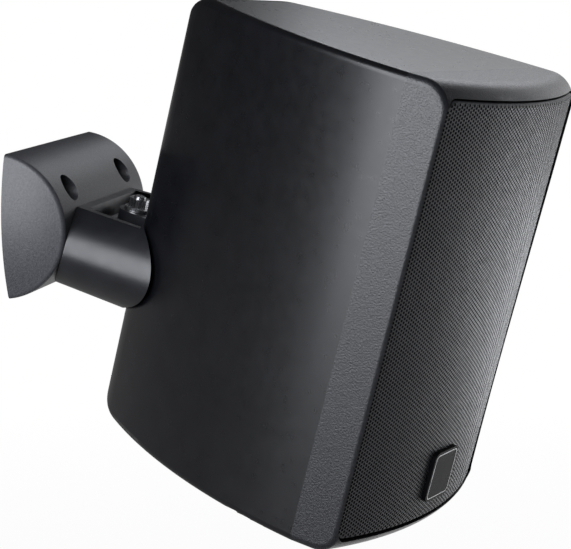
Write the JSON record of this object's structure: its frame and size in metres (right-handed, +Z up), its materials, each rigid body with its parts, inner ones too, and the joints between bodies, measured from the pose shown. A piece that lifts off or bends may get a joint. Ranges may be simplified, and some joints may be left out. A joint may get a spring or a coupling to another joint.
{
  "type": "wall-mounted loudspeaker",
  "caption": "Compact two-way loudspeaker with a bowed perforated grille and a tapered cabinet, on a wall bracket that tilts and swivels.",
  "frame": {"origin": "on the wall, midway between the bracket's two screw holes", "axes": "+Z up, +Y into the wall, X across the wall; the room is at -Y"},
  "size_m": [0.177, 0.2759, 0.2577],
  "materials": {
    "cabinet_plastic": "fine moulded, satin",
    "bezel_plastic": "fine grain",
    "grille_metal": "satin black, perforated",
    "badge_plastic": "gloss, bare",
    "bracket_plastic": "fine grain",
    "arm_plastic": "satin",
    "basket_steel": "satin",
    "zinc_steel": "plated",
    "fastener_steel": "plated",
    "ferrite": "matt",
    "cone_paper": "matt",
    "rubber": "matt",
    "spider_cloth": "treated cloth",
    "copper": "enamelled winding",
    "black_plastic": "satin",
    "board": "laminate",
    "capacitor_sleeve": "sleeved",
    "resistor_ceramic": "matt",
    "wadding": "loose fibre",
    "contact_brass": "plated",
    "red_plastic": "gloss"
  },
  "bodies": {
    "wall_bracket": {"wall_base": "bracket_plastic"},
    "arm": {"arm_sleeve": "arm_plastic", "clamp_screws": "fastener_steel", "clamp_nut_bar": "fastener_steel", "swivel_bolt": "fastener_steel", "swivel_washer": "fastener_steel", "swivel_nut": "fastener_steel"},
    "cabinet": {"cabinet_shell": "cabinet_plastic", "front_bezel": "bezel_plastic", "bezel_screws": "fastener_steel", "grille": "grille_metal", "badge_plate": "badge_plastic", "woofer_basket": "basket_steel", "woofer_top_plate": "zinc_steel", "woofer_magnet": "ferrite", "woofer_pole_plate": "zinc_steel", "woofer_surround": "rubber", "woofer_spider": "spider_cloth", "woofer_screws": "fastener_steel", "tweeter_plate": "black_plastic", "tweeter_dome": "spider_cloth", "tweeter_motor": "zinc_steel", "tweeter_screws": "fastener_steel", "crossover_board": "board", "crossover_screws": "fastener_steel", "crossover_inductor": "copper", "crossover_capacitors": "capacitor_sleeve", "crossover_resistor": "resistor_ceramic", "damping_pad": "wadding", "terminal_cup": "black_plastic", "terminal_pin": "zinc_steel", "terminal_contacts": "contact_brass", "terminal_screws": "fastener_steel", "swivel_lug": "arm_plastic", "lug_screws": "fastener_steel"},
    "diaphragm": {"woofer_cone": "cone_paper", "dust_cap": "cone_paper", "voice_coil": "copper"},
    "lever_red": {"terminal_lever_red": "red_plastic"},
    "lever_black": {"terminal_lever_black": "black_plastic"}
  },
  "joints": [
    {"name": "tilt", "type": "hinge", "parent": "wall_bracket", "child": "arm", "pos_m": [0, 0.0054, -0.019], "axis": [1, 0, 0], "range_deg": [-14, 8]},
    {"name": "swivel", "type": "hinge", "parent": "arm", "child": "cabinet", "pos_m": [0, -0.04635, -0.03175], "axis": [0, -0.2392, 0.971], "range_deg": [-0.5, 26.4]},
    {"name": "cone_travel", "type": "slide", "parent": "cabinet", "child": "diaphragm", "axis": [-0.2244, -0.9462, -0.2331], "range_m": [-0.003, 0.003], "stiffness_N_per_m": 1500, "deforming": ["woofer_surround", "woofer_spider"]},
    {"name": "lever_red_press", "type": "hinge", "parent": "cabinet", "child": "lever_red", "pos_m": [-0.00696, -0.06535, -0.08092], "axis": [-0.9745, 0.2179, 0.0537], "range_deg": [0, 12], "stiffness_Nm_per_rad": 0.3},
    {"name": "lever_black_press", "type": "hinge", "parent": "cabinet", "child": "lever_black", "pos_m": [-0.00696, -0.06535, -0.08092], "axis": [-0.9745, 0.2179, 0.0537], "range_deg": [0, 12], "stiffness_Nm_per_rad": 0.3}
  ]
}
